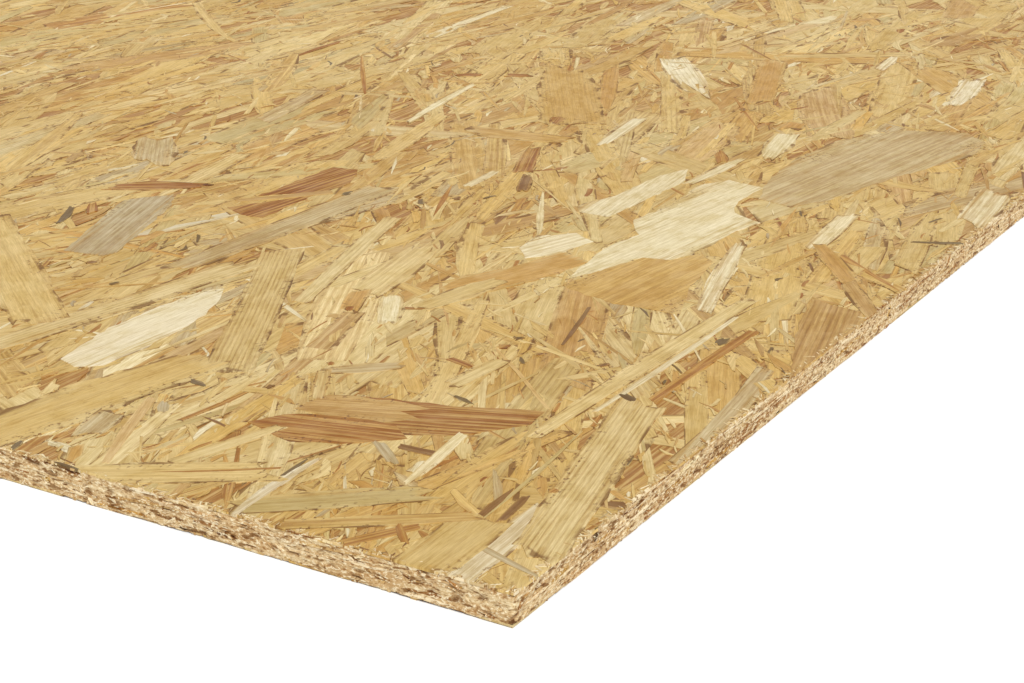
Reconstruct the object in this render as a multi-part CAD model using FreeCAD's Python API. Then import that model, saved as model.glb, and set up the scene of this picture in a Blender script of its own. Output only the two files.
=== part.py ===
"""An OSB board (oriented strand board): one full sheet with square edges, lying flat.

Millimetres. +Z is up, and +Y runs along the sheet, the way most of its face strands lie.
The origin is the middle of the underside.
"""
import FreeCAD, Part
import os

# Driving dimensions
LENGTH = 2440.0
WIDTH = 1220.0
THICKNESS = 12.0
CORNER_RADIUS = 2.0     # the four sawn corners, worn round by handling
ARRIS_EASE = 0.4        # how far the sharp arris has crumbled away from each face


def is_upright(edge):
    """Whether an edge of the sheet runs from its underside to its top face."""
    return edge.BoundBox.ZLength > THICKNESS / 2


def osb_board():
    """The pressed and sawn sheet, with its corners rounded and its arrises eased."""
    near_left = FreeCAD.Vector(-WIDTH / 2, -LENGTH / 2, 0)
    blank = Part.makeBox(WIDTH, LENGTH, THICKNESS, near_left)
    corners = [edge for edge in blank.Edges if is_upright(edge)]
    rounded = blank.makeFillet(CORNER_RADIUS, corners)
    arrises = [edge for edge in rounded.Edges if not is_upright(edge)]
    return rounded.makeChamfer(ARRIS_EASE, arrises)


os.makedirs("parts", exist_ok=True)
osb_board().exportStep("parts/osb_board.step")
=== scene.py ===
"""Looks of the OSB board: a full sheet of pressed wood strands, lying flat on a pale floor.

Metres, in the frame of the CAD model. The pressed body carries the sawn edge and the strands that lie
deepest, and thousands of thin strands are pressed into its two faces and its edges. The strands of the
corner that the camera looks at are placed one by one, and the rest are scattered with fixed seeds.
"""
import math
import random

import bpy
import numpy as np
from mathutils import Matrix, Vector, noise


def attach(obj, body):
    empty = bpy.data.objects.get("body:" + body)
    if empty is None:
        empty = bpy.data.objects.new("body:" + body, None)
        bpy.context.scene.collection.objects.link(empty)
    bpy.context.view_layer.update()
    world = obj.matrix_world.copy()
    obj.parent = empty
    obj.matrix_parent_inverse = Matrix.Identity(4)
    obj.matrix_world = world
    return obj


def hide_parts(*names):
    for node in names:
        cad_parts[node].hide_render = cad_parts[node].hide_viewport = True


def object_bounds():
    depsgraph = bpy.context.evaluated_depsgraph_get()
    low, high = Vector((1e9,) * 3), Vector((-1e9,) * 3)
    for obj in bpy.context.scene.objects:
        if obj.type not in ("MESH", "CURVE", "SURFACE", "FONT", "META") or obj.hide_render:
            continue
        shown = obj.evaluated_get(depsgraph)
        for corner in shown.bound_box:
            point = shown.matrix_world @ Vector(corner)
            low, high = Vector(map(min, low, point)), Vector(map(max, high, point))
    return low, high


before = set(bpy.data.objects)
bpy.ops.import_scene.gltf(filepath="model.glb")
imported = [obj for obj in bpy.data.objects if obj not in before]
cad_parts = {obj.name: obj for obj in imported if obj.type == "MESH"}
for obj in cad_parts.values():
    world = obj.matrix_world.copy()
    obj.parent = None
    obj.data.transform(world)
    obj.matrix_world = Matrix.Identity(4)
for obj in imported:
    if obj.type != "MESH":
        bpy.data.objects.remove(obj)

MM = 0.001
cad_low, cad_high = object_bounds()
HALF_WIDTH = cad_high.x
HALF_LENGTH = cad_high.y
THICKNESS = cad_high.z
NEAR_CORNER = Vector((HALF_WIDTH, -HALF_LENGTH, 0))

# How deep things lie under the CAD faces
PROUDEST = 0.02 * MM        # nothing comes nearer to a CAD face than this
BODY_DEPTH = 0.62 * MM      # the deepest strands, seen in the gaps between the others
ROOT_DEPTH = 1.1 * MM       # how far down a strand's hidden side reaches
SHOULDER = 0.18 * MM        # how far a strand's side slopes outwards on its way down
CORNER_RADIUS = 2.0 * MM    # of the sheet's four upright corners

# ---------------------------------------------------------------- colours

TONES = {
    "straw": "#d0b475",
    "pale": "#d8c189",
    "golden": "#cdad68",
    "honey": "#c6a15a",
    "amber": "#bc9048",
    "cream": "#e4d7b0",
    "white": "#e2d6b6",
    "olive": "#bfaa72",
    "grey": "#c4b084",
    "slate": "#b5a685",
    "pinkish": "#c8a871",
    "tan": "#bb9659",
    "rust": "#bb8f49",
    "brown": "#ae8240",
    "maroon": "#7a5328",
    "dark": "#4f381a",
    "sawn": "#d5bc8f",
    "sawn_pale": "#ebdbb6",
    "sawn_brown": "#a87f4c",
}
# How strongly brown streaks run over a strand of a tone; the others have few.
STAINS = {"rust": 0.75, "brown": 1.0, "maroon": 0.5, "slate": 0.25, "grey": 0.3, "tan": 0.25}
FACE_MIX = {
    "straw": 34, "pale": 12, "golden": 24, "honey": 11, "amber": 3, "cream": 1.6,
    "white": 0.2, "olive": 4, "grey": 3, "pinkish": 3, "tan": 2.5, "rust": 0.8, "brown": 0.2,
}
CHIP_MIX = {
    "straw": 28, "pale": 18, "golden": 22, "honey": 14, "amber": 7, "cream": 4,
    "olive": 4, "grey": 2, "pinkish": 3, "tan": 5, "rust": 4, "brown": 1.5, "maroon": 0.6,
}
FINE_MIX = {
    "straw": 14, "pale": 18, "golden": 12, "honey": 10, "amber": 8, "cream": 7,
    "slate": 3, "tan": 9, "rust": 8, "brown": 6, "maroon": 2, "dark": 2.5,
}
EDGE_MIX = {
    "sawn": 34, "sawn_pale": 30, "sawn_brown": 14, "pinkish": 8, "honey": 6, "maroon": 2.5, "dark": 1.5,
}


def linear(hex_colour):
    """A written sRGB colour as linear numbers."""
    parts = [int(hex_colour[i:i + 2], 16) / 255 for i in (1, 3, 5)]
    return tuple(c / 12.92 if c <= 0.04045 else ((c + 0.055) / 1.055) ** 2.4 for c in parts)


def tone_of(rng, name, spread=0.06):
    """A tone's colour, a little lighter or darker and warmer or cooler each time, and its stain."""
    light = math.exp(rng.gauss(0, spread))
    warm = rng.gauss(0, spread * 0.7)
    red, green, blue = linear(TONES[name])
    shade = (red * light * (1 + warm * 0.3), green * light, blue * light * (1 - warm))
    stain = STAINS.get(name, 0.4 * rng.random() ** 4)
    return (*(min(c, 0.9) for c in shade), stain)


def pick(rng, mix):
    """A tone name from a mix, where each weight says how common the tone is."""
    return rng.choices(list(mix), list(mix.values()))[0]


# ---------------------------------------------------------------- faces of the sheet

class Side:
    """One face of the sheet, with flat coordinates u and v on it, and out pointing away from it."""

    def __init__(self, centre, u_axis, v_axis, half_u, half_v):
        self.centre = Vector(centre)
        self.u_axis = Vector(u_axis)
        self.v_axis = Vector(v_axis)
        self.out = self.u_axis.cross(self.v_axis)
        self.half_u = half_u
        self.half_v = half_v


MIDDLE = THICKNESS / 2
TOP = Side((0, 0, THICKNESS), (1, 0, 0), (0, 1, 0), HALF_WIDTH, HALF_LENGTH)
UNDER = Side((0, 0, 0), (1, 0, 0), (0, -1, 0), HALF_WIDTH, HALF_LENGTH)
NEAR_EDGE = Side((0, -HALF_LENGTH, MIDDLE), (1, 0, 0), (0, 0, 1), HALF_WIDTH - CORNER_RADIUS / 2, MIDDLE)
FAR_EDGE = Side((0, HALF_LENGTH, MIDDLE), (-1, 0, 0), (0, 0, 1), HALF_WIDTH - CORNER_RADIUS / 2, MIDDLE)
RIGHT_EDGE = Side((HALF_WIDTH, 0, MIDDLE), (0, 1, 0), (0, 0, 1), HALF_LENGTH - CORNER_RADIUS / 2, MIDDLE)
LEFT_EDGE = Side((-HALF_WIDTH, 0, MIDDLE), (0, -1, 0), (0, 0, 1), HALF_LENGTH - CORNER_RADIUS / 2, MIDDLE)

# ---------------------------------------------------------------- strands


class Strand:
    """A thin slab: its outline on a side, its heights there, its colour and the run of its grain.

    A corner is (u, v, height, along, across, edge, end): along and across are metres of grain, edge
    goes from -1 to 1 across the strand and end from -1 to 1 along it.
    """

    def __init__(self, corners, tone, seed, figure):
        self.corners = corners
        self.tone = tone
        self.seed = seed
        self.figure = figure

    def middle(self):
        """The middle of the outline, as u and v."""
        count = len(self.corners)
        return sum(c[0] for c in self.corners) / count, sum(c[1] for c in self.corners) / count

    def height(self):
        """The height of the outline's highest corner."""
        return max(c[2] for c in self.corners)


def clip(corners, axis, limit, sign):
    """The part of an outline where sign * coordinate is under limit."""
    kept = []
    for here, after in zip(corners, corners[1:] + corners[:1]):
        inside = sign * here[axis] <= limit
        if inside:
            kept.append(here)
        if inside != (sign * after[axis] <= limit):
            share = (sign * limit - here[axis]) / (after[axis] - here[axis])
            kept.append(tuple(a + (b - a) * share for a, b in zip(here, after)))
    return kept


def trimmed(corners, side, rng, ragged):
    """An outline cut off at the sheet's sawn sides, not quite all at the same line."""
    for axis, half in ((0, side.half_u), (1, side.half_v)):
        limit = half - SHOULDER - (0.1 + 0.9 * rng.random()) * ragged
        for sign in (1, -1):
            if any(sign * c[axis] > limit for c in corners):
                corners = clip(corners, axis, limit, sign)
                if len(corners) < 3:
                    return []
    return corners


def strip_corners(rng, length, width, stations, taper, slant, bow, rough, teeth=1):
    """Corners (along, across, edge, end) of a strand that lies along the first axis, counterclockwise.

    taper narrows each end, slant cuts it obliquely, bow bends it, rough makes it uneven and teeth
    splinter its ends.
    """
    half = width / 2
    tapers = (1 - taper * rng.random(), 1 - taper * rng.random())
    lower, upper = [], []
    for i in range(stations):
        share = i / (stations - 1)
        narrow = tapers[0] + (1 - tapers[0]) * min(1, share * 2.5)
        narrow *= tapers[1] + (1 - tapers[1]) * min(1, (1 - share) * 2.5)
        bend = bow * length * (1 - (2 * share - 1) ** 2)
        for edge, line in ((-1, lower), (1, upper)):
            across = bend + edge * half * narrow * (1 + rng.uniform(-rough, rough))
            lean = slant[0] if share < 0.5 else slant[1]
            push = edge * half * lean * abs(2 * share - 1) ** 3
            line.append(((share - 0.5) * length + push, across, edge, 2 * share - 1))
    corners = lower
    if rough:
        corners = corners + broken_end(rng, lower[-1], upper[-1], width, 1, teeth)
    corners = corners + upper[::-1]
    if rough:
        corners = corners + broken_end(rng, upper[0], lower[0], width, -1, teeth)
    return corners


def broken_end(rng, first, second, width, sign, teeth):
    """The corners of the broken end of a strand, between its two sides."""
    corners = []
    for tooth in range(teeth):
        share = (tooth + rng.uniform(0.25, 0.75)) / teeth
        along, across, edge = (a + (b - a) * share for a, b in zip(first[:3], second[:3]))
        corners.append((along + sign * rng.uniform(-0.25, 0.3) * width, across, edge, sign))
    return corners


def lay(corners, centre, angle, depth, tilt=(0, 0), size=(1, 1)):
    """Strand corners put on a side: turned by angle from v, and tilted by heights end to end."""
    cos, sin = math.cos(angle), math.sin(angle)
    placed = []
    for along, across, edge, end in corners:
        height = -depth + tilt[0] * along / size[0] + tilt[1] * across / size[1]
        u = centre[0] - sin * along - cos * across
        v = centre[1] + cos * along - sin * across
        placed.append((u, v, height, along, across, edge, end))
    return placed


KINDS = {
    # kind: length and width in mm, stations along it, taper, depth in mm, tilt in mm, rough, mix of tones
    "broad": ((85, 165), (15, 36), 4, 0.55, (0.24, 0.56), 0.07, 0.10, FACE_MIX),
    "medium": ((55, 145), (7, 17), 4, 0.8, (0.21, 0.54), 0.07, 0.16, FACE_MIX),
    "sliver": ((22, 95), (1.6, 5), 3, 0.95, (0.20, 0.44), 0.05, 0.25, CHIP_MIX),
    "chip": ((7, 34), (2.5, 9), 3, 0.95, (0.20, 0.38), 0.08, 0.35, CHIP_MIX),
    "fine": ((3, 16), (0.6, 2.4), 3, 0.95, (0.20, 0.30), 0.02, 0.4, FINE_MIX),
    "edge_strip": ((6, 45), (0.7, 2.1), 3, 0.95, (0.02, 0.40), 0.08, 0.4, EDGE_MIX),
    "edge_chip": ((1.0, 5.5), (0.6, 2.0), 2, 0.8, (0.02, 0.50), 0.16, 0, EDGE_MIX),
    "crumb": ((0.9, 6), (0.5, 2.2), 2, 0.8, (0.10, 0.45), 0.12, 0, EDGE_MIX),
}
PLACED_LOWEST = 0.19 * MM   # scattered strands lie deeper than this, and the ones placed one by one do not
PLACED_STEP = 0.0015 * MM   # how much higher each placed strand lies than the one before it


def random_strand(rng, side, kind, centre, angle):
    """A scattered strand of a kind at a place on a side, or None where the sheet's edge cuts it off."""
    lengths, widths, stations, taper, depths, tilt, rough, mix = KINDS[kind]
    length = rng.triangular(*lengths) * MM
    width = min(rng.triangular(widths[0], widths[1], widths[0] * 1.2) * MM, length * 0.45)
    slant = (rng.uniform(-0.9, 0.9), rng.uniform(-0.9, 0.9))
    bow = rng.gauss(0, 0.06 if kind in ("chip", "fine") else 0.012)
    shape = strip_corners(rng, length, width, stations, taper, slant, bow, rough)
    depth = rng.uniform(*depths) * MM
    tilts = (rng.gauss(0, tilt) * MM, rng.gauss(0, tilt) * MM)
    corners = lay(shape, centre, angle, depth, tilts, (length, width))
    rise = max(c[2] for c in corners) + depths[0] * MM
    if rise > 0:
        corners = [(c[0], c[1], c[2] - rise - rng.random() * 0.02 * MM, *c[3:]) for c in corners]
    corners = trimmed(corners, side, rng, 0.8 * MM)
    if len(corners) < 3:
        return None
    figure = 0 if mix is EDGE_MIX else 0.8 * rng.random() ** 2.5
    return Strand(corners, tone_of(rng, pick(rng, mix)), rng.random() * 100, figure)


def face_angle(rng, u, v):
    """The lie of a face strand: along the sheet, in drifts that lean a little one way or the other."""
    drift = noise.noise(Vector((u * 4, v * 2.5, 3.7)))
    if rng.random() < 0.10:
        return rng.uniform(-math.pi / 2, math.pi / 2)
    return math.radians(rng.gauss(9 + 20 * drift, 15))


# The stretch of a face round the near corner, which shows most and gets more of the small strands
FOCUS_WIDTH = 0.66
FOCUS_LENGTH = 0.9


def scatter(rng, side, kind, count, focus=0.0):
    """Random strands over a face, with the share focus of them round the corner that is looked at."""
    strands = []
    for _ in range(count):
        u = rng.uniform(-1, 1) * side.half_u
        v = rng.uniform(-1, 1) * side.half_v
        if rng.random() < focus:
            u = side.half_u - rng.random() * FOCUS_WIDTH
            v = -side.half_v + rng.random() ** 1.3 * FOCUS_LENGTH
        loose = 1.0 if kind in ("broad", "medium") else 1.3
        strand = random_strand(rng, side, kind, (u, v), face_angle(rng, u, v) * loose)
        if strand:
            strands.append(strand)
    return strands


# ---------------------------------------------------------------- the strands of the near corner

# Millimetres from the near corner: x is negative, into the sheet from the long edge, and y runs along
# that edge. Each is: tone, from, to, width, figure (how strongly its rings show), taper.
PLACED = [
    ("white", (-19, -2), (-22, 60), 11, 0.4, 0.4),
    ("slate", (-32, 25), (0, 14), 3.2, 0.2, 0.8),
    ("maroon", (-38, 65), (-36, 36), 3, 0.1, 0.9),
    ("straw", (-33, -2), (-34, 40), 20, 0.2, 0.0),
    ("golden", (-86, 2), (-37, 41), 8, 0.2, 0.3),
    ("rust", (-62, 1), (-49, 24), 5, 0.6, 0.8),
    ("rust", (-55, 22), (-46, 12), 3, 0.6, 0.8),
    ("olive", (-108, 3), (-60, 47), 14, 0.1, 0.5),
    ("white", (-103, 0), (-106, 51), 4.4, 0.1, 0.7),
    # Painted shadow: this dark strip beside the white sliver stands in for the sliver's shadow.
    ("dark", (-108, 33), (-109, 49), 1.6, 0.1, 0.9),
    ("pale", (-133, 68), (-145, 22), 7, 0.3, 0.5),
    ("maroon", (-89, 75), (-75, 76), 4.6, 0.1, 0.4),
    ("slate", (-97, 74), (-83, 62), 4.6, 0.2, 0.5),
    ("grey", (-151, 120), (-130, 141), 10, 0.2, 0.6),
    ("pale", (-37, 158), (-8, 28), 19, 1.0, 0.1),
    ("straw", (-252, 233), (-181, 98), 19, 1.0, 0.0),
    ("pinkish", (-188, 64), (-164, 10), 4.5, 0.1, 0.6),
    ("golden", (-214, -4), (-196, 104), 29, 0.1, 0.3),
    ("straw", (-168, -4), (-112, 34), 17, 0.2, 0.4),
    ("rust", (-146, 12), (-112, 38), 1.6, 0.1, 0.9),
    ("dark", (-97, 125), (-88, 122), 2.6, 0.1, 0.8),
    ("pale", (-54, 108), (-50, 285), 9, 0.4, 0.6),
    ("cream", (-47, 140), (-46, 262), 3, 0.1, 0.6),
    ("pale", (-167, 74), (-169, 101), 5, 0.1, 0.5),
    ("pale", (-152, 121), (-137, 95), 6, 0.1, 0.5),
    ("pale", (-101, 166), (-104, 134), 9, 0.2, 0.2),
    ("brown", (-119, 157), (-108, 154), 4, 0.2, 0.7),
    ("cream", (-76, 96), (-70, 50), 5, 0.2, 0.8),
    ("dark", (-187, 85), (-180, 84), 3.5, 0.0, 0.5),
    ("slate", (-182, 63), (-177, 56), 4.5, 0.0, 0.6),
    ("grey", (-191, 46), (-185, 24), 12, 0.4, 0.5),
    ("dark", (-200, 9), (-198, 2), 2.6, 0.0, 0.8),
    ("dark", (-178, 1), (-168, 0), 2.2, 0.0, 0.8),
    ("rust", (-33, 250), (-34, 160), 4.6, 0.4, 0.6),
    ("dark", (-46, 160), (-40, 157), 4, 0.0, 0.5),
    ("dark", (-39, 236), (-39, 228), 5, 0.0, 0.5),
    ("cream", (-85, 354), (-60, 260), 9.5, 0.4, 0.5),
    ("cream", (-61, 425), (-55, 367), 11, 0.4, 0.4),
    ("amber", (-56, 374), (-17, 322), 10, 0.2, 0.5),
    ("tan", (-24, 330), (2, 292), 9, 0.4, 0.4),
    ("dark", (-21, 401), (-1, 412), 3, 0.0, 0.8),
    ("grey", (-269, 340), (-274, 188), 17, 0.4, 0.6),
    ("maroon", (-102, 239), (-90, 194), 2.0, 0.0, 0.8),
    ("brown", (-245, 447), (-227, 403), 10, 0.6, 0.6),
    ("maroon", (-222, 399), (-211, 374), 7, 0.3, 0.5),
    ("cream", (-239, 396), (-237, 365), 5, 0.1, 0.6),
    ("pale", (-201, 272), (-189, 203), 19, 0.2, 0.4),
    ("amber", (-192, 206), (-182, 182), 9, 0.3, 0.6),
    ("cream", (-177, 206), (-161, 178), 11, 0.2, 0.5),
    ("tan", (-315, 282), (-286, 320), 5.5, 0.1, 0.2),
    ("brown", (-380, 266), (-344, 294), 15, 0.8, 0.6),
    ("dark", (-372, 231), (-360, 208), 4, 0.1, 0.8),
    ("brown", (-368, 241), (-359, 230), 5, 0.1, 0.7),
    ("grey", (-420, 352), (-391, 313), 24, 0.3, 0.6),
    ("cream", (-228, 536), (-219, 473), 10, 0.2, 0.6),
    ("cream", (-346, 554), (-329, 455), 6, 0.2, 0.7),
    ("cream", (-146, 552), (-135, 498), 15, 0.4, 0.7),
    ("cream", (-145, 490), (-148, 430), 8, 0.3, 0.7),
    ("amber", (-224, 716), (-188, 610), 18, 0.3, 0.5),
    ("honey", (-322, 622), (-254, 506), 38, 0.5, 0.4),
    ("honey", (-290, 460), (-239, 471), 20, 0.2, 0.3),
    ("white", (-102, 740), (-91, 670), 15, 0.2, 0.8),
    ("rust", (-441, 577), (-385, 497), 3, 0.1, 0.7),
    ("brown", (-342, 586), (-330, 592), 8, 0.1, 0.5),
    ("brown", (-365, 570), (-355, 576), 9, 0.1, 0.5),
    ("brown", (-266, 512), (-262, 499), 8, 0.1, 0.5),
    ("rust", (-161, 497), (-151, 478), 7, 0.2, 0.6),
    ("amber", (-151, 577), (-149, 562), 13, 0.2, 0.5),
    ("cream", (-166, 772), (-161, 732), 9, 0.2, 0.6),
    ("cream", (-14, 502), (-8, 443), 19, 0.3, 0.5),
    ("pale", (-277, 48), (-254, 206), 16, 0.7, 0.5),
    ("straw", (-390, 194), (-276, 104), 27, 0.2, 0.2),
    ("pale", (-204, 180), (-238, 300), 9, 0.6, 0.4),
    ("straw", (-150, 250), (-160, 200), 14, 0.2, 0.5),
]

# Strands whose outline has to be drawn: tone, direction of the grain, figure, outline.
DRAWN = [
    ("white", (0.05, 1), 0.1, [(-232, 72), (-224, 80), (-223, 104), (-226, 136), (-232, 160),
                               (-241, 176), (-246, 170), (-250, 140), (-248, 104), (-242, 76)]),
    ("brown", (1, 0.42), 0.6, [(-128, 86), (-95, 83), (-76, 95), (-60, 117), (-62, 130), (-92, 116),
                              (-115, 110), (-130, 104)]),
    ("tan", (1, 0.42), 0.1, [(-139, 84), (-122, 84), (-108, 88), (-94, 99), (-106, 102), (-98, 110),
                             (-115, 109), (-137, 101)]),
    ("brown", (1, 0.3), 0.6, [(-146, 64), (-134, 61), (-123, 58), (-106, 66), (-90, 82), (-100, 90),
                             (-120, 88), (-139, 77)]),
    ("cream", (0.1, 1), 0.3, [(-127, 266), (-119, 288), (-114, 310), (-101, 314), (-96, 338), (-95, 372),
                              (-92, 389), (-108, 398), (-115, 416), (-114, 446), (-134, 449), (-143, 430),
                              (-139, 396), (-143, 360), (-131, 341), (-134, 318), (-132, 298)]),
    ("cream", (-0.1, 1), 0.4, [(-170, 357), (-155, 358), (-154, 374), (-151, 431), (-160, 456), (-167, 437),
                               (-168, 396), (-176, 367)]),
    ("cream", (0.3, 1), 0.2, [(-156, 281), (-146, 300), (-143, 319), (-155, 327), (-169, 313), (-166, 293)]),
    ("amber", (0.35, 1), 0.1, [(-151, 223), (-144, 240), (-134, 270), (-131, 294), (-148, 298), (-156, 264),
                               (-167, 246), (-166, 225)]),
    ("honey", (0.1, 1), 0.1, [(-96, 249), (-67, 252), (-79, 288), (-85, 324), (-95, 330), (-101, 315),
                              (-113, 311), (-119, 293), (-125, 258)]),
    ("tan", (-0.25, 1), 1.0, [(-22, 270), (-10, 234), (3, 200), (3, 280), (-5, 296), (-28, 300)]),
    ("brown", (0.1, 1), 0.9, [(-312, 270), (-300, 265), (-288, 267), (-290, 311)]),
    ("brown", (0.1, 1), 0.9, [(-311, 294), (-300, 307), (-288, 320), (-287, 338), (-298, 360), (-311, 357)]),
    ("slate", (-0.35, 1), 0.5, [(-331, 179), (-312, 182), (-310, 190), (-334, 255), (-346, 274),
                                (-360, 253)]),
    ("grey", (0.12, 1), 0.3, [(-118, 462), (-108, 426), (-89, 421), (-79, 444), (-65, 504), (-46, 564),
                              (-48, 594), (-64, 610), (-98, 594), (-118, 552), (-122, 504)]),
]

# Dark knots and bits of bark, and pits whose dark is painted shade: from the near corner, with length and
# width along the sheet.
KNOTS_BARK_AND_SHADED_PITS = [
    (-241, 330, 9, 5), (-108, 180, 5, 6), (-108, 191, 3, 6), (-92, 180, 3, 4), (-218, 355, 8, 3),
    (-230, 345, 6, 4), (-278, 322, 8, 4), (-283, 156, 5, 4), (-310, 172, 4, 5), (-183, 183, 4, 6),
    (-66, 183, 5, 4), (-154, 128, 3, 4), (-159, 96, 4, 3), (-26, 71, 3, 5), (-188, 588, 7, 5),
]


def placed_depth(order):
    """Each placed strand lies a hair above the one before it."""
    return PLACED_LOWEST - order * PLACED_STEP


def placed_strand(rng, order, tone, start, end, width, figure, taper):
    """A strand of PLACED, laid from its start to its end."""
    start = Vector(start) * MM + NEAR_CORNER.xy
    end = Vector(end) * MM + NEAR_CORNER.xy
    run = end - start
    angle = math.atan2(-run.x, run.y)
    stations = 4 + int(run.length / (9 * MM))
    slant = (rng.uniform(-0.6, 0.6), rng.uniform(-0.6, 0.6))
    bow = rng.gauss(0, 0.01)
    shape = strip_corners(rng, run.length, width * MM, stations, taper, slant, bow, 0.09, 4)
    if width < 6:
        # A narrow strand keeps its own colour, because its frayed rim is drawn thinner.
        shape = [(along, across, edge * 0.7, end * 0.85) for along, across, edge, end in shape]
    corners = lay(shape, (start + end) / 2, angle, placed_depth(order))
    corners = trimmed(corners, TOP, rng, 0.3 * MM)
    return Strand(corners, tone_of(rng, tone, 0.03), rng.random() * 100, figure)


def uneven_line(rng, points):
    """A drawn outline with small steps and splinters between its corners."""
    line = []
    for here, after in zip(points, points[1:] + points[:1]):
        run = after - here
        aside = Vector((run.y, -run.x)).normalized()
        steps = max(1, int(run.length / (4.5 * MM)))
        for step in range(steps):
            line.append(here + run * (step / steps) + aside * rng.gauss(0, 0.45) * MM)
    return line


def drawn_strand(rng, order, tone, direction, figure, outline):
    """A strand of DRAWN, with its outline as it was drawn and its grain in the given direction."""
    along_axis = Vector(direction).normalized()
    across_axis = Vector((-along_axis.y, along_axis.x))
    points = uneven_line(rng, [Vector(p) * MM for p in outline])
    middle = sum(points, Vector((0, 0))) / len(points)
    reach = max(abs((p - middle).dot(across_axis)) for p in points)
    stretch = max(abs((p - middle).dot(along_axis)) for p in points)
    corners = []
    for point in points:
        along = (point - middle).dot(along_axis)
        across = (point - middle).dot(across_axis)
        u, v = point + NEAR_CORNER.xy
        corners.append((u, v, -placed_depth(order), along, across, across / reach, along / stretch))
    corners = trimmed(corners, TOP, rng, 0.3 * MM)
    return Strand(corners, tone_of(rng, tone, 0.03), rng.random() * 100, figure)


def speck(rng, order, x, y, length, width):
    """A dark knot, bit of bark or pit from the table of specks, as a small ragged chip; on a pit the dark is
    painted shade.
    """
    centre = Vector((x, y)) * MM + NEAR_CORNER.xy
    shape = strip_corners(rng, length * MM, width * 0.8 * MM, 5, 0.9, (0, 0), 0.05, 0.45, 2)
    corners = lay(shape, centre, rng.uniform(-0.5, 0.5), placed_depth(order))
    tone = tone_of(rng, rng.choice(["maroon", "brown", "dark"]))
    return Strand(corners, tone, rng.random() * 100, 0.2)


def corner_strands():
    """All that is placed one by one: later ones lie on top of earlier ones."""
    rng = random.Random(11)
    strands = []
    for make, rows in ((drawn_strand, DRAWN), (placed_strand, PLACED), (speck, KNOTS_BARK_AND_SHADED_PITS)):
        strands += [make(rng, order, *row) for order, row in enumerate(rows, len(strands))]
    return [s for s in strands if len(s.corners) > 2]


# ---------------------------------------------------------------- meshes

def outward(corners, distance):
    """An outline pushed outwards by a distance, corner by corner."""
    count = len(corners)
    turn = sum(
        corners[i][0] * corners[(i + 1) % count][1] - corners[(i + 1) % count][0] * corners[i][1]
        for i in range(count)
    )
    sign = 1 if turn > 0 else -1
    moved = []
    for i in range(count):
        before, after = corners[i - 1], corners[(i + 1) % count]
        run_u, run_v = after[0] - before[0], after[1] - before[1]
        size = math.hypot(run_u, run_v) or 1
        moved.append((corners[i][0] + sign * run_v / size * distance,
                      corners[i][1] - sign * run_u / size * distance))
    return moved, sign


def bake_cells(strands, columns, side):
    """For each strand the column of the unfolded map that it goes to, by its place along v."""
    cells = []
    for strand in strands:
        share = (strand.middle()[1] / side.half_v + 1) / 2
        cells.append(min(max(int(share * columns), 0), columns - 1))
    return cells


def strand_mesh(name, side, strands, columns):
    """One mesh of many strands. The deepest come first, so that the map shows those on top."""
    strands = sorted(strands, key=Strand.height)
    points, faces, tones, grains, looks, cells = [], [], [], [], [], []
    for strand, cell in zip(strands, bake_cells(strands, columns, side)):
        foot, sign = outward(strand.corners, SHOULDER)
        first, count = len(points), len(strand.corners)
        top = list(range(first, first + count))
        root = list(range(first + count, first + 2 * count))
        for corner in strand.corners:
            points.append(corner[:3])
        for u, v in foot:
            u = min(max(u, PROUDEST - side.half_u), side.half_u - PROUDEST)
            v = min(max(v, PROUDEST - side.half_v), side.half_v - PROUDEST)
            points.append((u, v, -ROOT_DEPTH))
        for _ in (top, root):
            for _, _, _, along, across, edge, end in strand.corners:
                grains.append((along, across, strand.seed))
                looks.append((edge, end, strand.figure))
        tones += [strand.tone] * (2 * count)
        cells += [cell] * (2 * count)
        if sign < 0:
            top.reverse()
            root.reverse()
        faces.append(top)
        for i in range(count):
            j = (i + 1) % count
            faces.append((root[i], root[j], top[j], top[i]))
        faces.append(root[::-1])
    flat = np.array(points)
    piece = make_piece(name, on_side(side, flat), faces, tones, grains, looks)
    unfold(piece.data, flat[:, :2], np.array(cells), columns)
    return piece


def on_side(side, flat):
    """Points (u, v, height) of a side, as points of the sheet."""
    axes = np.array([side.u_axis, side.v_axis, side.out])
    return flat @ axes + np.array(side.centre)


def make_piece(name, points, faces, tones, grains, looks):
    """A mesh object with the colour, grain and look that its material reads at each point."""
    mesh = bpy.data.meshes.new(name)
    mesh.from_pydata(points, [], faces)
    write_attribute(mesh, "tone", "FLOAT_COLOR", "color", tones)
    write_attribute(mesh, "grain", "FLOAT_VECTOR", "vector", grains)
    write_attribute(mesh, "look", "FLOAT_VECTOR", "vector", looks)
    piece = bpy.data.objects.new(name, mesh)
    bpy.context.scene.collection.objects.link(piece)
    return piece


def write_attribute(mesh, name, kind, field, values):
    """Numbers kept at each point of a mesh, under a name."""
    made = mesh.attributes.new(name, kind, "POINT")
    made.data.foreach_set(field, np.array(values, np.float32).ravel())


def unfold(mesh, flat, cells, columns):
    """The piece's flat map: its long strip cut into columns that stand side by side."""
    places = np.zeros((len(flat), 2))
    for cell in range(columns):
        held = cells == cell
        if not held.any():
            continue
        low, high = flat[held].min(0), flat[held].max(0)
        share = (flat[held] - low) / np.maximum(high - low, 1e-9)
        places[held, 0] = (cell + 0.01 + 0.98 * share[:, 0]) / columns
        places[held, 1] = 0.002 + 0.996 * share[:, 1]
    vertex = np.empty(len(mesh.loops), np.int32)
    mesh.loops.foreach_get("vertex_index", vertex)
    layer = mesh.uv_layers.new(name="OFBake")
    layer.uv.foreach_set("vector", places[vertex].astype(np.float32).ravel())


# ---------------------------------------------------------------- materials

# A Mix node has sockets for each kind of data; these are the colour ones.
COLOUR_A = 6
COLOUR_B = 7
COLOUR_RESULT = 2


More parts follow.
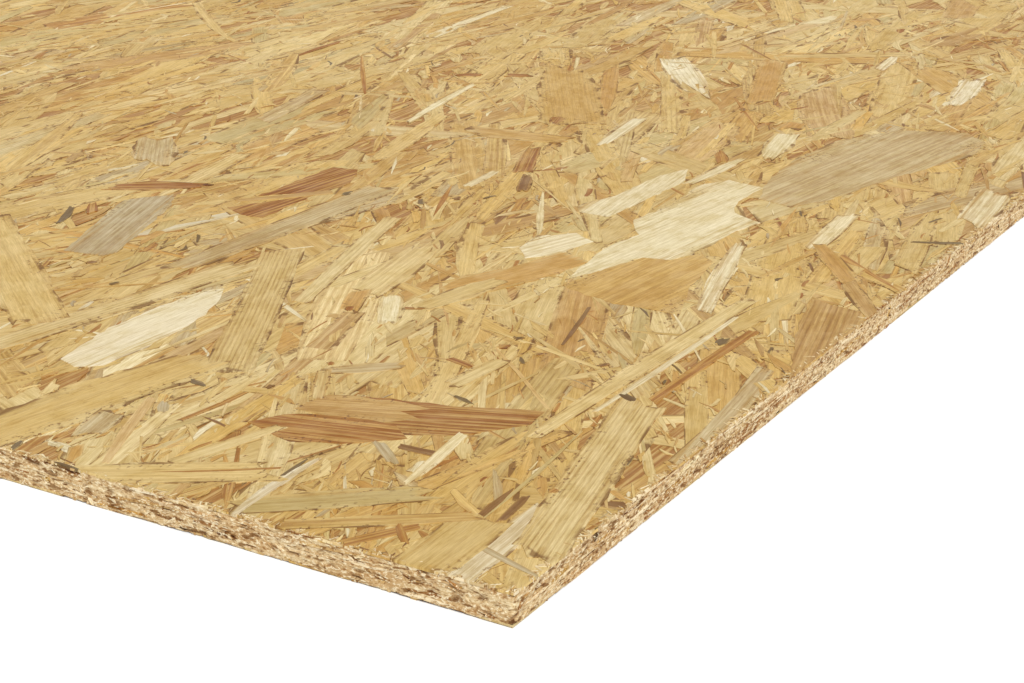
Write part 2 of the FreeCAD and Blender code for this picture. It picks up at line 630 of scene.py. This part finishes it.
class Nodes:
    """Short ways to write a material's nodes."""

    def __init__(self, name):
        self.material = bpy.data.materials.new(name)
        self.material.use_nodes = True
        self.tree = self.material.node_tree
        self.shader = self.tree.nodes["Principled BSDF"]

    def put(self, socket, value):
        """Links a node's output to a socket, or sets the socket to a plain value."""
        if isinstance(value, bpy.types.NodeSocket):
            self.tree.links.new(value, socket)
        else:
            socket.default_value = value

    def read(self, attribute, output):
        """A named value that the mesh keeps at its points."""
        node = self.tree.nodes.new("ShaderNodeAttribute")
        node.attribute_name = attribute
        return node.outputs[output]

    def split(self, vector):
        """The three numbers of a vector."""
        node = self.tree.nodes.new("ShaderNodeSeparateXYZ")
        self.put(node.inputs[0], vector)
        return node.outputs

    def maths(self, operation, *values):
        node = self.tree.nodes.new("ShaderNodeMath")
        node.operation = operation
        for socket, value in zip(node.inputs, values):
            self.put(socket, value)
        return node.outputs[0]

    def scaled(self, vector, *factors):
        """A vector times a factor for each of its axes: how fine a pattern is that way."""
        node = self.tree.nodes.new("ShaderNodeVectorMath")
        node.operation = "MULTIPLY"
        self.put(node.inputs[0], vector)
        self.put(node.inputs[1], factors)
        return node.outputs[0]

    def noise(self, vector, detail=2.0, rough=0.5):
        """Smooth random numbers round 0.5."""
        node = self.tree.nodes.new("ShaderNodeTexNoise")
        self.put(node.inputs["Vector"], vector)
        node.inputs["Scale"].default_value = 1.0
        node.inputs["Detail"].default_value = detail
        node.inputs["Roughness"].default_value = rough
        return node.outputs["Fac"]

    def step(self, value, low, high, out_low=0.0, out_high=1.0):
        """A smooth step from out_low to out_high, as the value goes from low to high."""
        node = self.tree.nodes.new("ShaderNodeMapRange")
        node.interpolation_type = "SMOOTHSTEP"
        for name, number in (("Value", value), ("From Min", low), ("From Max", high),
                             ("To Min", out_low), ("To Max", out_high)):
            self.put(node.inputs[name], number)
        return node.outputs["Result"]

    def mix(self, factor, first, second, blend="MULTIPLY"):
        """A colour changed by another, by a factor from 0 to 1."""
        node = self.tree.nodes.new("ShaderNodeMix")
        node.data_type = "RGBA"
        node.blend_type = blend
        self.put(node.inputs[0], factor)
        self.put(node.inputs[COLOUR_A], first)
        self.put(node.inputs[COLOUR_B], second)
        return node.outputs[COLOUR_RESULT]

    def bump(self, height, distance, strength):
        """Fine relief on the shader."""
        node = self.tree.nodes.new("ShaderNodeBump")
        node.inputs["Strength"].default_value = strength
        node.inputs["Distance"].default_value = distance
        self.put(node.inputs["Height"], height)
        self.put(self.shader.inputs["Normal"], node.outputs["Normal"])


def shade(red, green, blue):
    """A linear colour as a socket takes it."""
    return (red, green, blue, 1)


def position(nodes):
    """The place on the sheet, whichever strand lies there."""
    return nodes.tree.nodes.new("ShaderNodeTexCoord").outputs["Object"]


def ground_colour(nodes, wide):
    """The colour that runs through the whole face: pressed dust and fibre, drifting from place to place."""
    close = nodes.noise(nodes.scaled(position(nodes), 260, 110, 200), 3.0, 0.6)
    golden, pale = ((*linear(TONES[name]), 1) for name in ("golden", "pale"))
    colour = nodes.mix(nodes.step(wide, 0.35, 0.65), golden, pale, "MIX")
    return nodes.mix(nodes.step(close, 0.42, 0.66, 0.0, 0.7), colour, shade(0.72, 0.60, 0.42))


def painted_pit_shade(nodes, rim):
    """Painted shade in small pits and cracks, which come in clusters and mostly near the rims of strands."""
    place = position(nodes)
    shaded_pits = nodes.noise(nodes.scaled(place, 620, 380, 500), 3.0, 0.6)
    cluster = nodes.noise(nodes.scaled(place, 34, 19, 30), 2.0, 0.6)
    spread = nodes.step(cluster, 0.46, 0.60, 0.1, 1.0)
    shaded_pits = nodes.maths("MULTIPLY", nodes.step(shaded_pits, 0.56, 0.64), spread)
    return nodes.maths("MULTIPLY", shaded_pits, nodes.step(rim, 0.35, 0.85, 0.12, 1.0))


def growth_rings(nodes, grain, mottle):
    """Lines along the strand, 2 to 3 mm apart, that wander."""
    _, across, seed = nodes.split(grain)
    drift = nodes.noise(nodes.scaled(grain, 6, 14, 2.3), 1.0, 0.5)
    pitch = nodes.step(nodes.maths("FRACT", nodes.maths("MULTIPLY", seed, 7.7)), 0, 1, 1900, 3300)
    phase = nodes.maths("MULTIPLY", across, pitch)
    phase = nodes.maths("ADD", phase, nodes.maths("MULTIPLY", drift, 12))
    wave = nodes.maths("MULTIPLY_ADD", nodes.maths("SINE", phase), 0.5, 0.5)
    rings = nodes.maths("POWER", wave, 2.5)
    return nodes.maths("MULTIPLY", rings, nodes.step(mottle, 0.35, 0.6, 0.5, 1.0))


def nearness_to_rim(nodes, edge, end):
    """From 0 in the middle of a strand to 1 at its sides and ends."""
    end = nodes.maths("POWER", nodes.maths("ABSOLUTE", end), 4.0)
    return nodes.maths("MAXIMUM", nodes.maths("ABSOLUTE", edge), end)


def strand_wood():
    """Pressed strand: its own tone, with fibres, streaks, rings and flecks, frayed sides, and painted shade
    in the gaps along its rims and in small pits.
    """
    nodes = Nodes("strand_wood")
    tone = nodes.read("tone", "Color")
    stain = nodes.read("tone", "Alpha")
    grain = nodes.read("grain", "Vector")
    edge, end, figure = nodes.split(nodes.read("look", "Vector"))
    fibre = nodes.noise(nodes.scaled(grain, 110, 2400, 7.3), 3.0, 0.7)
    streak = nodes.noise(nodes.scaled(grain, 18, 620, 3.1), 3.0, 0.55)
    mottle = nodes.noise(nodes.scaled(grain, 70, 130, 5.7), 4.0, 0.6)
    wide = nodes.noise(nodes.scaled(position(nodes), 22, 9, 20), 2.0, 0.5)
    flecks = nodes.step(nodes.noise(nodes.scaled(grain, 190, 1100, 9.1), 2.0, 0.6), 0.62, 0.70)
    flecks = nodes.maths("MULTIPLY", flecks, nodes.step(mottle, 0.48, 0.60))
    rings = nodes.maths("MULTIPLY", growth_rings(nodes, grain, mottle), nodes.maths("MULTIPLY", figure, 0.62))
    rim = nearness_to_rim(nodes, edge, end)
    # Dark lines along the rims: partly real gaps and glue lines, partly painted shade that falls into them.
    rim_gap_and_shade = nodes.maths("MULTIPLY", nodes.step(rim, 0.86, 0.98), nodes.step(mottle, 0.48, 0.58))
    shaded_pits = painted_pit_shade(nodes, rim)

    # Near its sides and ends a strand is frayed, and the ground shows between its loose fibres.
    loose = nodes.maths("ADD", rim, nodes.maths("MULTIPLY", nodes.maths("SUBTRACT", streak, 0.5), 1.8))
    frayed = nodes.maths("MULTIPLY_ADD", nodes.step(loose, 0.58, 1.06), 0.62, 0.16)
    colour = nodes.mix(frayed, tone, ground_colour(nodes, wide), "MIX")
    changes = (
        (nodes.step(fibre, 0.42, 0.66, 0.0, 0.42), shade(0.62, 0.53, 0.31)),
        (nodes.step(fibre, 0.48, 0.30, 0.0, 0.40), shade(1.24, 1.26, 1.42)),
        (nodes.step(streak, 0.50, 0.68, 0.0, 0.36), shade(0.66, 0.56, 0.34)),
        (nodes.step(streak, 0.47, 0.30, 0.0, 0.34), shade(1.24, 1.27, 1.48)),
        (nodes.maths("MULTIPLY", nodes.step(streak, 0.40, 0.56), stain), shade(0.64, 0.42, 0.20)),
        (rings, shade(0.60, 0.48, 0.32)),
        (nodes.step(mottle, 0.45, 0.66, 0.0, 0.38), shade(0.78, 0.70, 0.46)),
        (nodes.step(wide, 0.35, 0.65, 0.3, 0.0), shade(0.86, 0.79, 0.66)),
        (nodes.maths("MULTIPLY", flecks, 0.3), shade(0.42, 0.28, 0.15)),
        # Painted shade along the strand's rims, over real gaps and glue lines.
        (nodes.maths("MULTIPLY", rim_gap_and_shade, 0.8), shade(0.32, 0.20, 0.10)),
        # Painted shade in the small pits and cracks, where the bump sinks them in.
        (nodes.maths("MULTIPLY", shaded_pits, 0.85), shade(0.34, 0.21, 0.10)),
    )
    for amount, tint in changes:
        colour = nodes.mix(amount, colour, tint)
    nodes.put(nodes.shader.inputs["Base Color"], colour)
    nodes.put(nodes.shader.inputs["Roughness"], nodes.step(mottle, 0.3, 0.7, 0.52, 0.70))
    nodes.shader.inputs["Specular IOR Level"].default_value = 0.3
    height = nodes.maths("ADD", nodes.maths("MULTIPLY", fibre, 0.6), rings)
    height = nodes.maths("ADD", height, nodes.maths("MULTIPLY", mottle, 0.8))
    height = nodes.maths("SUBTRACT", height, nodes.maths("MULTIPLY", shaded_pits, 1.5))
    nodes.bump(height, 0.18 * MM, 0.6)
    return nodes.material


def sawn_wood():
    """The sawn edge: cut strands in thin layers, pale torn fibre that is partly painted highlight, and
    painted shade in its hollows and pits.
    """
    nodes = Nodes("sawn_wood")
    tone = nodes.read("tone", "Color")
    grain = nodes.read("grain", "Vector")
    _, _, shaded_pit = nodes.split(nodes.read("look", "Vector"))
    layers = nodes.noise(nodes.scaled(grain, 60, 800, 3.0), 2.0, 0.6)
    grit = nodes.noise(nodes.scaled(grain, 520, 900, 5.0), 4.0, 0.7)
    lumps = nodes.noise(nodes.scaled(grain, 150, 380, 4.0), 3.0, 0.65)
    patch = nodes.noise(nodes.scaled(grain, 40, 200, 2.0), 2.0, 0.5)
    colour = nodes.mix(nodes.step(layers, 0.42, 0.62, 0.0, 0.5), tone, shade(0.72, 0.56, 0.38))
    colour = nodes.mix(nodes.step(patch, 0.44, 0.60, 0.0, 0.6), colour, shade(0.70, 0.52, 0.33))
    # Partly real pale torn fibre, partly painted highlight on the grit that stands up in the bump.
    pale_fibre_and_highlight = (*linear(TONES["sawn_pale"]), 1)
    colour = nodes.mix(nodes.step(grit, 0.52, 0.60, 0.0, 0.9), colour, pale_fibre_and_highlight, "MIX")
    # Painted shade: the grit and lumps are darkened where their bump sinks in.
    colour = nodes.mix(nodes.step(grit, 0.47, 0.36, 0.0, 0.8), colour, shade(0.46, 0.31, 0.17))
    colour = nodes.mix(nodes.step(lumps, 0.47, 0.38, 0.0, 0.9), colour, shade(0.34, 0.22, 0.11))
    # Painted shade in the pits that the sawn edge is torn into.
    colour = nodes.mix(nodes.maths("MULTIPLY", shaded_pit, 0.8), colour, shade(0.34, 0.21, 0.11))
    nodes.put(nodes.shader.inputs["Base Color"], colour)
    nodes.put(nodes.shader.inputs["Roughness"], nodes.step(grit, 0.2, 0.8, 0.75, 0.92))
    nodes.shader.inputs["Specular IOR Level"].default_value = 0.2
    height = nodes.maths("ADD", nodes.maths("MULTIPLY", layers, 0.4), nodes.maths("ADD", grit, lumps))
    nodes.bump(height, 0.5 * MM, 0.8)
    return nodes.material


# ---------------------------------------------------------------- the pressed body

BAND_STEP = 1.6 * MM        # along the sawn edge
BAND_ROWS = 13              # up the sawn edge
BAND_IN = 0.35 * MM         # how far the sawn edge lies inside the CAD sides, on average
BAND_FOLDS = 14             # strips that its flat map is cut into


def perimeter():
    """Points round the sheet, counterclockwise from its far left corner, with the way out at each."""
    x, y, radius = HALF_WIDTH, HALF_LENGTH, CORNER_RADIUS
    turns = [((-x + radius, y - radius), 90), ((-x + radius, -y + radius), 180),
             ((x - radius, -y + radius), -90), ((x - radius, y - radius), 0)]
    path = []
    for (centre, start), (after, _) in zip(turns, turns[1:] + turns[:1]):
        for i in range(4):
            angle = math.radians(start + 22.5 * i)
            out = Vector((math.cos(angle), math.sin(angle)))
            path.append((Vector(centre) + out * radius, out))
        angle = math.radians(start + 90)
        out = Vector((math.cos(angle), math.sin(angle)))
        first, last = Vector(centre) + out * radius, Vector(after) + out * radius
        steps = int((last - first).length / BAND_STEP)
        path += [(first.lerp(last, i / steps), out) for i in range(steps)]
    return path


def torn(length, z):
    """How far the sawn edge is torn in at a place along it, and how much painted shade a pit there gets."""
    layer = noise.noise(Vector((length * 25, z * 900, 0.5))) * 0.5 + 0.5
    chips = noise.noise(Vector((length * 420, z * 520, 9.5)))
    shaded_pit = max(0.0, noise.noise(Vector((length * 190, z * 360, 4.2))) - 0.22) / 0.5
    return (0.22 * layer + 0.24 * chips + 1.1 * shaded_pit) * MM, min(1.0, shaded_pit * 2.0)


def band_column(place, out, length):
    """The points up the sawn edge at one place, with how much painted shade each gets for a pit."""
    column = []
    for row in range(BAND_ROWS + 1):
        share = row / BAND_ROWS
        z = share * THICKNESS
        depth, shaded_pit = torn(length, z)
        if row in (0, BAND_ROWS):
            crumble = 0.35 + 0.6 * abs(noise.noise(Vector((length * 300, z * 99, 1.0))))
            z += (0.5 - share) * 2 * crumble * MM
            depth += 0.5 * crumble * MM
        spot = place - out * max(PROUDEST, BAND_IN + depth - 0.2 * MM)
        column.append((spot.x, spot.y, z, shaded_pit))
    return column


def body_band():
    """The sawn edge all round, as a strip of small quads, torn and pitted, with painted shade in its pits."""
    path = perimeter()
    rows = BAND_ROWS + 1
    total = sum((path[i][0] - path[i - 1][0]).length for i in range(len(path)))
    points, grains, looks, cells, flat = [], [], [], [], []
    length = 0.0
    for i, (place, out) in enumerate(path + path[:1]):
        if i:
            length += (place - path[i - 1][0]).length
        # The last column closes the loop, so it lies where the first one does.
        for x, y, z, shaded_pit in band_column(place, out, length if i < len(path) else 0.0):
            points.append((x, y, z))
            grains.append((length, z, 1.0))
            looks.append((0, 0, shaded_pit))
            cells.append(min(int(length / total * BAND_FOLDS), BAND_FOLDS - 1))
            flat.append((z, length))
    faces = []
    for i in range(len(path)):
        for row in range(BAND_ROWS):
            a = i * rows + row
            b = a + rows
            faces.append((a, b, b + 1, a + 1))
    tones = [(*linear(TONES["sawn"]), 1)] * len(points)
    piece = make_piece("sawn_edge", points, faces, tones, grains, looks)
    unfold(piece.data, np.array(flat), np.array(cells), BAND_FOLDS)
    return piece


DEEP_INSET = 1.2 * MM       # the deepest strands stop this far inside the sawn edge
DEEP_SWELL = 0.12 * MM      # how much their height wanders
DEEP_CELLS = (50, 100)      # across and along the sheet
# How strongly brown streaks run over the deepest strands: partly real glue and fines, partly painted shade
# for the gaps they are seen through.
DEEP_STAIN_AND_SHADE = 0.8


def deep_layer(name, side):
    """The strands that lie deepest in a face, as one gently uneven sheet."""
    across, along = DEEP_CELLS
    points, faces, grains, looks = [], [], [], []
    for i in range(along + 1):
        for j in range(across + 1):
            u = (2 * j / across - 1) * (side.half_u - DEEP_INSET)
            v = (2 * i / along - 1) * (side.half_v - DEEP_INSET)
            height = -BODY_DEPTH + DEEP_SWELL * noise.noise(Vector((u * 70, v * 25, 2.0)))
            points.append((u, v, height))
            grains.append((v, u, 40.0))
            looks.append((0, 0, 0.4))
    for i in range(along):
        for j in range(across):
            a = i * (across + 1) + j
            faces.append((a, a + 1, a + across + 2, a + across + 1))
    flat = np.array(points)
    tones = [(*linear(TONES["tan"]), DEEP_STAIN_AND_SHADE)] * len(points)
    piece = make_piece(name, on_side(side, flat), faces, tones, grains, looks)
    unfold(piece.data, flat[:, :2], np.zeros(len(points), int), 1)
    return piece


# ---------------------------------------------------------------- making the sheet

def finish_piece(piece, material):
    """Every piece of the sheet has one material and the same slot, and rides on the sheet."""
    piece.data.materials.append(material)
    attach(piece, "root")


def face_pieces(name, side, strands, strips, material):
    """The strands of a face in long strips, one piece each."""
    groups = [[] for _ in range(strips)]
    for strand in strands:
        share = (strand.middle()[0] / side.half_u + 1) / 2
        groups[min(max(int(share * strips), 0), strips - 1)].append(strand)
    for number, group in enumerate(groups, 1):
        finish_piece(strand_mesh(f"{name}_{number}", side, group, 4), material)


EDGE_LEAN = {"edge_strip": 0.04, "edge_chip": 0.5}


def edge_pieces(name, side, seed, counts, material):
    """Cut strands in a sawn edge: long flat ones and small torn ends."""
    rng = random.Random(seed)
    strands = []
    for kind, per_metre in counts:
        for _ in range(int(per_metre * side.half_u * 2)):
            u = rng.uniform(-1, 1) * side.half_u
            v = rng.uniform(-1, 1) * (side.half_v - 0.4 * MM)
            angle = math.pi / 2 + rng.gauss(0, EDGE_LEAN[kind])
            strand = random_strand(rng, side, kind, (u, v), angle)
            if strand:
                strands.append(strand)
    finish_piece(strand_mesh(name, side, strands, 1), material)


def arris_crumbs(rng, side, count):
    """Torn ends and crumbs along the sawn sides of a face, thickest at the corner that is looked at."""
    strands = []
    for _ in range(count):
        inward = PROUDEST + abs(rng.gauss(0, 1.2)) * MM
        on_short = rng.random() < 0.4
        place = rng.uniform(-1, 1)
        if rng.random() < 0.5:
            looked_at_end = 1 if on_short else -1
            place = looked_at_end * (1 - rng.random() * 0.9)
        near = rng.random() < 0.75
        if on_short:
            centre = (place * side.half_u, (inward - side.half_v) * (1 if near else -1))
        else:
            centre = ((side.half_u - inward) * (1 if near else -1), place * side.half_v)
        strand = random_strand(rng, side, "crumb", centre, rng.uniform(-1.6, 1.6))
        if strand:
            strands.append(strand)
    return strands


# How many strands of each kind, and the share of them that lies round the corner that is looked at
TOP_COUNTS = (("broad", 2000, 0), ("medium", 3100, 0), ("sliver", 1500, 0.4), ("chip", 1900, 0.6),
              ("fine", 4200, 0.85))
UNDER_COUNTS = (("broad", 1400, 0), ("medium", 2000, 0), ("chip", 1900, 0))
EDGE_COUNTS = (("edge_strip", 250), ("edge_chip", 700))     # per metre
TOP_CRUMBS = 6000
UNDER_CRUMBS = 2500


def face_strands(rng, side, counts, crumbs):
    """All the scattered strands of a face."""
    strands = []
    for kind, count, focus in counts:
        strands += scatter(rng, side, kind, count, focus)
    return strands + arris_crumbs(rng, side, crumbs)


def build_sheet():
    """The two faces, the pressed body with its sawn edge, and the strands cut off in that edge."""
    wood = strand_wood()
    sawn = sawn_wood()
    top = face_strands(random.Random(2440), TOP, TOP_COUNTS, TOP_CRUMBS)
    face_pieces("top_strands", TOP, top + corner_strands(), 8, wood)
    under = face_strands(random.Random(1220), UNDER, UNDER_COUNTS, UNDER_CRUMBS)
    face_pieces("under_strands", UNDER, under, 5, wood)
    body = body_band()
    finish_piece(body, sawn)
    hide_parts("osb_board")
    for name, side in (("deep_strands_top", TOP), ("deep_strands_under", UNDER)):
        finish_piece(deep_layer(name, side), wood)
    edges = (("near", NEAR_EDGE), ("right", RIGHT_EDGE), ("far", FAR_EDGE), ("left", LEFT_EDGE))
    for seed, (name, side) in enumerate(edges, 1):
        edge_pieces(f"{name}_edge_strands", side, seed, EDGE_COUNTS, sawn)


# ---------------------------------------------------------------- camera, floor and light

# The camera stands over the near corner and looks down along the sheet, as in the photo.
CAMERA_FROM_CORNER = Vector((0.270, -0.4815, 0.2947))
CAMERA_LENS = 73.31
CAMERA_RIGHT = Vector((0.86606, 0.49950, 0.02116))
CAMERA_BACK = Vector((0.46244, -0.81644, 0.34580))
FLOOR_HALF = 30.0
FLOOR_PALE = 0.82
SKY_STRENGTH = 0.46
KEY_FROM = Vector((10.9, -10.5, 15.6))
KEY_WIDTH = math.radians(24)
KEY_STRENGTH = 3.1


def camera():
    """The camera that the scene is looked at through."""
    data = bpy.data.cameras.new("camera")
    data.lens = CAMERA_LENS
    data.sensor_width = 36.0
    data.clip_start = 0.01
    data.clip_end = 100
    made = bpy.data.objects.new("camera", data)
    back = CAMERA_BACK.normalized()
    right = (CAMERA_RIGHT - back * CAMERA_RIGHT.dot(back)).normalized()
    up = back.cross(right)
    turn = Matrix((right, up, back)).transposed()
    made.matrix_world = Matrix.Translation(NEAR_CORNER + CAMERA_FROM_CORNER) @ turn.to_4x4()
    bpy.context.scene.collection.objects.link(made)
    bpy.context.scene.camera = made


def shown_white(tree, usual, white, output):
    """Plain white for the camera and for glossy and clear surfaces, and the usual shader for all else."""
    path = tree.nodes.new("ShaderNodeLightPath")
    seen = path.outputs["Is Camera Ray"]
    for ray in ("Is Glossy Ray", "Is Transmission Ray"):
        either = tree.nodes.new("ShaderNodeMath")
        either.operation = "MAXIMUM"
        tree.links.new(seen, either.inputs[0])
        tree.links.new(path.outputs[ray], either.inputs[1])
        seen = either.outputs[0]
    choice = tree.nodes.new("ShaderNodeMixShader")
    tree.links.new(seen, choice.inputs["Fac"])
    tree.links.new(usual.outputs[0], choice.inputs[1])
    tree.links.new(white.outputs[0], choice.inputs[2])
    tree.links.new(choice.outputs[0], output.inputs["Surface"])


def floor():
    """A wide pale floor that keeps the sheet's shadow and is white where the camera sees it lit."""
    half = FLOOR_HALF
    corners = [(-half, -half, 0), (half, -half, 0), (half, half, 0), (-half, half, 0)]
    mesh = bpy.data.meshes.new("floor")
    mesh.from_pydata(corners, [], [(0, 1, 2, 3)])
    made = bpy.data.objects.new("floor", mesh)
    bpy.context.scene.collection.objects.link(made)
    tree = Nodes("floor").tree
    pale = tree.nodes.new("ShaderNodeBsdfDiffuse")
    pale.inputs["Color"].default_value = shade(FLOOR_PALE, FLOOR_PALE, FLOOR_PALE)
    white = tree.nodes.new("ShaderNodeBsdfDiffuse")
    white.inputs["Color"].default_value = shade(1, 1, 1)
    shown_white(tree, pale, white, tree.nodes["Material Output"])
    mesh.materials.append(bpy.data.materials["floor"])


def key_light():
    """A far, wide lamp, which lights the whole floor evenly and gives soft shadows."""
    data = bpy.data.lights.new("key", "SUN")
    data.angle = KEY_WIDTH
    data.energy = KEY_STRENGTH
    made = bpy.data.objects.new("key", data)
    made.location = KEY_FROM
    made.rotation_euler = (-KEY_FROM).to_track_quat("-Z", "Y").to_euler()
    bpy.context.scene.collection.objects.link(made)


def studio():
    """Soft light from all round, and the key light."""
    scene = bpy.context.scene
    scene.view_settings.view_transform = "Standard"
    world = bpy.data.worlds.new("studio")
    scene.world = world
    world.use_nodes = True
    tree = world.node_tree
    sky = tree.nodes["Background"]
    sky.inputs["Color"].default_value = shade(1, 1, 1)
    sky.inputs["Strength"].default_value = SKY_STRENGTH
    white = tree.nodes.new("ShaderNodeBackground")
    white.inputs["Color"].default_value = shade(1, 1, 1)
    white.inputs["Strength"].default_value = 1.0
    shown_white(tree, sky, white, tree.nodes["World Output"])
    key_light()


camera()
floor()
studio()
build_sheet()
